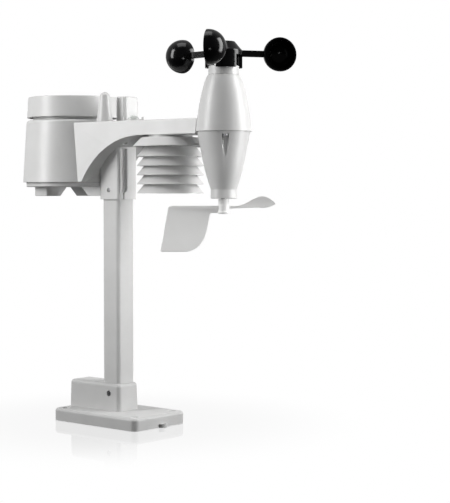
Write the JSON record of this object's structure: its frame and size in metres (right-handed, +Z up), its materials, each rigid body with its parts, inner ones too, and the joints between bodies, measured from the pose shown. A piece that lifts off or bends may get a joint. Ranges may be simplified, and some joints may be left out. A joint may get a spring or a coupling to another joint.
{
  "type": "outdoor weather sensor",
  "caption": "Pole-mounted outdoor weather sensor on a flat base: rain gauge, arched arm, louvred radiation shield, and a wind head with a cup rotor above and a wind vane below.",
  "frame": {"origin": "on the underside of the base plate, under the pole's axis", "axes": "+Z up along the pole, +X from the pole along the arm towards the wind head, with the rain gauge on the -X side and the socket screw's head on the -Y side"},
  "size_m": [0.3099, 0.1321, 0.3935],
  "materials": {
    "housing": "fine matte moulded light grey plastic",
    "stand": "matte moulded light grey plastic, lightly speckled",
    "inner_plastic": "plain moulded black plastic",
    "rotor_plastic": "polished black plastic",
    "screw_steel": "zinc-plated steel",
    "shaft_steel": "ground steel",
    "bush_brass": "turned brass",
    "magnet_metal": "nickel-plated magnet",
    "level_glass": "clear dome over pale green fluid",
    "lens_plastic": "clear red plastic",
    "gasket_rubber": "soft black rubber",
    "circuit_board": "green solder mask",
    "cell_jacket": "printed metal jacket, plain",
    "contact_metal": "nickel-plated spring steel",
    "wire_sleeve": "black wire insulation"
  },
  "bodies": {
    "mast": {"antenna_sleeve": "housing", "antenna_whip": "shaft_steel", "arm_cover": "housing", "arm_screws": "screw_steel", "arm_shell": "housing", "base_nut": "screw_steel", "base_plate": "stand", "base_screw": "screw_steel", "battery_cells": "cell_jacket", "battery_contacts": "contact_metal", "bucket_cradle": "inner_plastic", "gauge_base": "housing", "gauge_body": "housing", "gauge_screws": "screw_steel", "head_lower_shell": "housing", "head_screws": "screw_steel", "head_upper_shell": "housing", "led_lens": "lens_plastic", "level_cup": "housing", "level_dome": "level_glass", "main_board": "circuit_board", "pole": "stand", "reed_switch": "circuit_board", "rotor_bearings": "bush_brass", "sensor_board": "circuit_board", "shield_cap": "housing", "shield_plate_1": "housing", "shield_plate_2": "housing", "shield_plate_3": "housing", "shield_plate_4": "housing", "shield_plate_5": "housing", "shield_posts": "housing", "shield_screws": "screw_steel", "socket_nut": "screw_steel", "socket_screw": "screw_steel", "vane_bearings": "bush_brass", "wind_board": "circuit_board", "wire_harness": "wire_sleeve"},
    "rotor": {"rotor_shaft": "shaft_steel", "rotor_magnet": "magnet_metal", "rotor_hub": "rotor_plastic", "rotor_cap": "rotor_plastic", "cup_arm_1": "rotor_plastic", "cup_arm_2": "rotor_plastic", "cup_arm_3": "rotor_plastic"},
    "vane": {"vane_shaft": "shaft_steel", "vane_magnet": "magnet_metal", "wind_vane": "housing"},
    "bucket": {"tipping_bucket": "inner_plastic", "bucket_pin": "shaft_steel", "bucket_magnet": "magnet_metal"},
    "collector": {"rain_collector": "housing"},
    "button": {"reset_button": "housing"},
    "door": {"battery_door": "housing", "door_gasket": "gasket_rubber", "door_screw": "screw_steel"}
  },
  "joints": [
    {"name": "rotor_spin", "type": "hinge", "parent": "mast", "child": "rotor", "pos_m": [0.1457, 0, 0.3767], "axis": [0, 0, 1], "continuous": true},
    {"name": "vane_turn", "type": "hinge", "parent": "mast", "child": "vane", "pos_m": [0.1457, 0, 0.225], "axis": [0, 0, 1], "continuous": true},
    {"name": "bucket_tip", "type": "hinge", "parent": "mast", "child": "bucket", "pos_m": [-0.068, 0, 0.2765], "axis": [0, 1, 0], "range_deg": [0, 30]},
    {"name": "collector_lift", "type": "slide", "parent": "mast", "child": "collector", "axis": [0, 0, 1], "range_m": [0, 0.04]},
    {"name": "reset_press", "type": "slide", "parent": "mast", "child": "button", "axis": [0, 0, 1], "range_m": [0, 0.001], "stiffness_N_per_m": 200},
    {"name": "door_drop", "type": "slide", "parent": "mast", "child": "door", "axis": [0, 0, -1], "range_m": [0, 0.02]}
  ]
}
